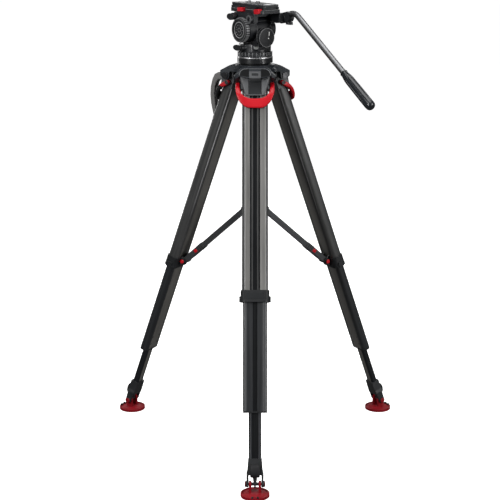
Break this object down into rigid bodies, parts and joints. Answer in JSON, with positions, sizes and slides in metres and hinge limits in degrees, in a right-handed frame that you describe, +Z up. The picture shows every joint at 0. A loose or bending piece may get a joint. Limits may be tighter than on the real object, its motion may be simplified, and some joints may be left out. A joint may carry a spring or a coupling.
{
  "type": "film camera tripod",
  "caption": "Camera tripod with flat telescoping legs on hinged pads, a mid-level spreader with a sliding hub, a bowl crown and a fluid pan and tilt head with a sliding plate and a pan bar.",
  "frame": {"origin": "on the floor, under the centre line of the crown and head", "axes": "+Z up; the front leg points to -Y; +X to the right of someone facing the front leg from -Y"},
  "size_m": [0.7598, 0.6674, 1.1495],
  "materials": {
    "carbon_tube": "satin",
    "shoulder_grey": "satin",
    "collar_black": "satin",
    "crown_dark": "satin",
    "hinge_steel": "satin",
    "red_plastic": "satin",
    "red_pad": "matte",
    "foot_black": "matte",
    "handle_brown": "matte",
    "spreader_grey": "satin",
    "hub_black": "satin",
    "head_black": "satin",
    "gloss_black": "gloss",
    "ring_ribbed": "satin",
    "ring_silver": "satin",
    "vial": "gloss",
    "inner_metal": "satin",
    "screw_steel": "satin",
    "bar_grey": "satin",
    "grip_rubber": "matte"
  },
  "bodies": {
    "crown": {"crown": "crown_dark", "leg_hinge_pins": "hinge_steel"},
    "leg_front": {"front_shoulder": "shoulder_grey", "front_upper_tube": "carbon_tube", "front_upper_collar": "collar_black"},
    "latch_front": {"latch_front": "shoulder_grey"},
    "middle_front": {"front_middle_tube": "carbon_tube", "front_middle_bush": "collar_black"},
    "lower_front": {"front_lower_tube": "carbon_tube", "front_foot_fork": "foot_black"},
    "pad_front": {"front_foot_pad": "red_pad"},
    "lever_front": {"front_brake_lever": "red_plastic"},
    "arm_front": {"spreader_arm_front": "spreader_grey"},
    "leg_left": {"left_shoulder": "shoulder_grey", "left_upper_tube": "carbon_tube", "left_upper_collar": "collar_black", "carry_handle": "handle_brown"},
    "latch_left": {"latch_left": "shoulder_grey"},
    "middle_left": {"left_middle_tube": "carbon_tube", "left_middle_bush": "collar_black"},
    "lower_left": {"left_lower_tube": "carbon_tube", "left_foot_fork": "foot_black"},
    "pad_left": {"left_foot_pad": "red_pad"},
    "lever_left": {"left_brake_lever": "red_plastic"},
    "arm_left": {"spreader_arm_left": "spreader_grey"},
    "leg_right": {"right_shoulder": "shoulder_grey", "right_upper_tube": "carbon_tube", "right_upper_collar": "collar_black"},
    "latch_right": {"latch_right": "shoulder_grey"},
    "middle_right": {"right_middle_tube": "carbon_tube", "right_middle_bush": "collar_black"},
    "lower_right": {"right_lower_tube": "carbon_tube", "right_foot_fork": "foot_black"},
    "pad_right": {"right_foot_pad": "red_pad"},
    "lever_right": {"right_brake_lever": "red_plastic"},
    "arm_right": {"spreader_arm_right": "spreader_grey"},
    "hub": {"spreader_hub": "hub_black"},
    "head_level": {"half_ball": "gloss_black", "clamp_washer": "crown_dark", "pan_base": "ring_silver"},
    "tie_down": {"tie_down_handle": "hub_black"},
    "drag_ring": {"pan_drag_ring": "ring_ribbed"},
    "pan": {"pan_housing": "head_black", "bubble_level": "vial", "fluid_damper": "inner_metal"},
    "pan_lever": {"pan_brake_lever": "gloss_black"},
    "rear_knob": {"counterbalance_knob": "gloss_black"},
    "tilt": {"tilt_body": "head_black", "tilt_axle": "inner_metal", "platform": "head_black"},
    "tilt_dial": {"tilt_dial": "gloss_black"},
    "tilt_lever": {"tilt_brake_lever": "gloss_black"},
    "plate": {"camera_plate": "head_black", "camera_screws": "screw_steel"},
    "plate_lock": {"plate_lock_lever": "red_plastic"},
    "plate_button": {"plate_release_button": "red_plastic"},
    "pan_bar": {"pan_bar_clamp": "head_black", "pan_bar_tube": "bar_grey", "pan_bar_grip": "grip_rubber"},
    "bar_knob": {"pan_bar_knob": "gloss_black"}
  },
  "joints": [
    {"name": "leg_front_spread", "type": "hinge", "parent": "crown", "child": "leg_front", "pos_m": [0, -0.057, 0.966], "axis": [-1, 0, 0], "range_deg": [-18, 0]},
    {"name": "latch_front_slide", "type": "slide", "parent": "crown", "child": "latch_front", "axis": [0, -1, 0], "range_m": [-0.004, 0], "stiffness_N_per_m": 400, "springref_m": 0.002},
    {"name": "front_brake_lever_turn", "type": "hinge", "parent": "leg_front", "child": "lever_front", "pos_m": [0, -0.05503, 0.94754], "axis": [-1, 0, 0], "range_deg": [0, 25], "stiffness_Nm_per_rad": 0.4, "springref_deg": -8.59},
    {"name": "front_middle_slide", "type": "slide", "parent": "leg_front", "child": "middle_front", "axis": [0, -0.3469, -0.9379], "range_m": [-0.23, 0.13]},
    {"name": "front_lower_slide", "type": "slide", "parent": "middle_front", "child": "lower_front", "axis": [0, -0.3469, -0.9379], "range_m": [-0.095, 0.28]},
    {"name": "front_pad_tilt", "type": "hinge", "parent": "lower_front", "child": "pad_front", "pos_m": [0, -0.39804, 0.03005], "axis": [1, 0, 0], "range_deg": [-25, 25]},
    {"name": "spreader_arm_front_swing", "type": "hinge", "parent": "leg_front", "child": "arm_front", "pos_m": [0, -0.213, 0.455], "axis": [-1, 0, 0], "range_deg": [-26.01, 0]},
    {"name": "leg_left_spread", "type": "hinge", "parent": "crown", "child": "leg_left", "pos_m": [-0.04936, 0.0285, 0.966], "axis": [0.5, 0.866, 0], "range_deg": [-18, 0]},
    {"name": "latch_left_slide", "type": "slide", "parent": "crown", "child": "latch_left", "axis": [-0.866, 0.5, 0], "range_m": [-0.004, 0], "stiffness_N_per_m": 400, "springref_m": 0.002},
    {"name": "left_brake_lever_turn", "type": "hinge", "parent": "leg_left", "child": "lever_left", "pos_m": [-0.04766, 0.02752, 0.94754], "axis": [0.5, 0.866, 0], "range_deg": [0, 6], "stiffness_Nm_per_rad": 0.4, "springref_deg": -8.59},
    {"name": "left_middle_slide", "type": "slide", "parent": "leg_left", "child": "middle_left", "axis": [-0.3005, 0.1735, -0.9379], "range_m": [-0.23, 0.13]},
    {"name": "left_lower_slide", "type": "slide", "parent": "middle_left", "child": "lower_left", "axis": [-0.3005, 0.1735, -0.9379], "range_m": [-0.095, 0.28]},
    {"name": "left_pad_tilt", "type": "hinge", "parent": "lower_left", "child": "pad_left", "pos_m": [-0.34471, 0.19902, 0.03005], "axis": [-0.5, -0.866, 0], "range_deg": [-25, 25]},
    {"name": "spreader_arm_left_swing", "type": "hinge", "parent": "leg_left", "child": "arm_left", "pos_m": [-0.18446, 0.1065, 0.455], "axis": [0.5, 0.866, 0], "range_deg": [-26.01, 0]},
    {"name": "leg_right_spread", "type": "hinge", "parent": "crown", "child": "leg_right", "pos_m": [0.04936, 0.0285, 0.966], "axis": [0.5, -0.866, 0], "range_deg": [-18, 0]},
    {"name": "latch_right_slide", "type": "slide", "parent": "crown", "child": "latch_right", "axis": [0.866, 0.5, 0], "range_m": [-0.004, 0], "stiffness_N_per_m": 400, "springref_m": 0.002},
    {"name": "right_brake_lever_turn", "type": "hinge", "parent": "leg_right", "child": "lever_right", "pos_m": [0.04766, 0.02752, 0.94754], "axis": [0.5, -0.866, 0], "range_deg": [0, 25], "stiffness_Nm_per_rad": 0.4, "springref_deg": -8.59},
    {"name": "right_middle_slide", "type": "slide", "parent": "leg_right", "child": "middle_right", "axis": [0.3005, 0.1735, -0.9379], "range_m": [-0.23, 0.13]},
    {"name": "right_lower_slide", "type": "slide", "parent": "middle_right", "child": "lower_right", "axis": [0.3005, 0.1735, -0.9379], "range_m": [-0.095, 0.28]},
    {"name": "right_pad_tilt", "type": "hinge", "parent": "lower_right", "child": "pad_right", "pos_m": [0.34471, 0.19902, 0.03005], "axis": [-0.5, 0.866, 0], "range_deg": [-25, 25]},
    {"name": "spreader_arm_right_swing", "type": "hinge", "parent": "leg_right", "child": "arm_right", "pos_m": [0.18446, 0.1065, 0.455], "axis": [0.5, -0.866, 0], "range_deg": [-26.01, 0]},
    {"name": "hub_rise", "type": "slide", "parent": "crown", "child": "hub", "axis": [0, 0, 1], "range_m": [0, 0.06114]},
    {"name": "head_levelling", "type": "hinge", "parent": "crown", "child": "head_level", "pos_m": [0, 0, 1.001], "axis": [0.7986, 0.6018, 0], "range_deg": [-4.5, 4.5]},
    {"name": "tie_down_turn", "type": "hinge", "parent": "head_level", "child": "tie_down", "pos_m": [0, 0, 0.95], "axis": [0, 0, 1], "continuous": true},
    {"name": "drag_ring_turn", "type": "hinge", "parent": "head_level", "child": "drag_ring", "pos_m": [0, 0, 1.02], "axis": [0, 0, 1], "range_deg": [-60, 60]},
    {"name": "head_pan", "type": "hinge", "parent": "head_level", "child": "pan", "pos_m": [0, 0, 1.02], "axis": [0, 0, 1], "continuous": true},
    {"name": "pan_brake_turn", "type": "hinge", "parent": "pan", "child": "pan_lever", "pos_m": [0.00361, -0.00479, 1.036], "axis": [0.7986, 0.6018, 0], "range_deg": [-25, 15]},
    {"name": "counterbalance_turn", "type": "hinge", "parent": "pan", "child": "rear_knob", "pos_m": [0.02407, -0.03195, 1.062], "axis": [-0.6018, 0.7986, 0], "continuous": true},
    {"name": "head_tilt", "type": "hinge", "parent": "pan", "child": "tilt", "pos_m": [0, 0, 1.08], "axis": [0.7986, 0.6018, 0], "range_deg": [-60, 40]},
    {"name": "tilt_dial_turn", "type": "hinge", "parent": "tilt", "child": "tilt_dial", "pos_m": [-0.03195, -0.02407, 1.08], "axis": [0.7986, 0.6018, 0], "range_deg": [-60, 60]},
    {"name": "tilt_brake_turn", "type": "hinge", "parent": "tilt", "child": "tilt_lever", "pos_m": [-0.0516, -0.00132, 1.113], "axis": [0.7986, 0.6018, 0], "range_deg": [-30, 30]},
    {"name": "plate_slide", "type": "slide", "parent": "tilt", "child": "plate", "axis": [-0.6018, 0.7986, 0], "range_m": [-0.03, 0.03]},
    {"name": "plate_lock_turn", "type": "hinge", "parent": "tilt", "child": "plate_lock", "pos_m": [-0.02585, -0.01322, 1.129], "axis": [0, 0, 1], "range_deg": [0, 25]},
    {"name": "plate_button_press", "type": "slide", "parent": "tilt", "child": "plate_button", "axis": [0.7986, 0.6018, 0], "range_m": [0, 0.0015], "stiffness_N_per_m": 300, "springref_m": -0.001},
    {"name": "pan_bar_angle", "type": "hinge", "parent": "tilt", "child": "pan_bar", "pos_m": [0.07002, -0.00984, 1.108], "axis": [-0.7986, -0.6018, 0], "range_deg": [-25, 35]},
    {"name": "bar_knob_turn", "type": "hinge", "parent": "pan_bar", "child": "bar_knob", "pos_m": [0.08506, -0.02481, 1.098], "axis": [0, 0, 1], "range_deg": [-90, 90]}
  ],
  "couplings": [
    {"joint": "leg_left_spread", "follows": "leg_front_spread", "ratio": 1},
    {"joint": "leg_right_spread", "follows": "leg_front_spread", "ratio": 1},
    {"joint": "spreader_arm_front_swing", "follows": "leg_front_spread", "ratio": 1.4423},
    {"joint": "spreader_arm_left_swing", "follows": "leg_front_spread", "ratio": 1.4423},
    {"joint": "spreader_arm_right_swing", "follows": "leg_front_spread", "ratio": 1.4423},
    {"joint": "hub_rise", "follows": "leg_front_spread", "m_per_rad": -0.19398}
  ]
}
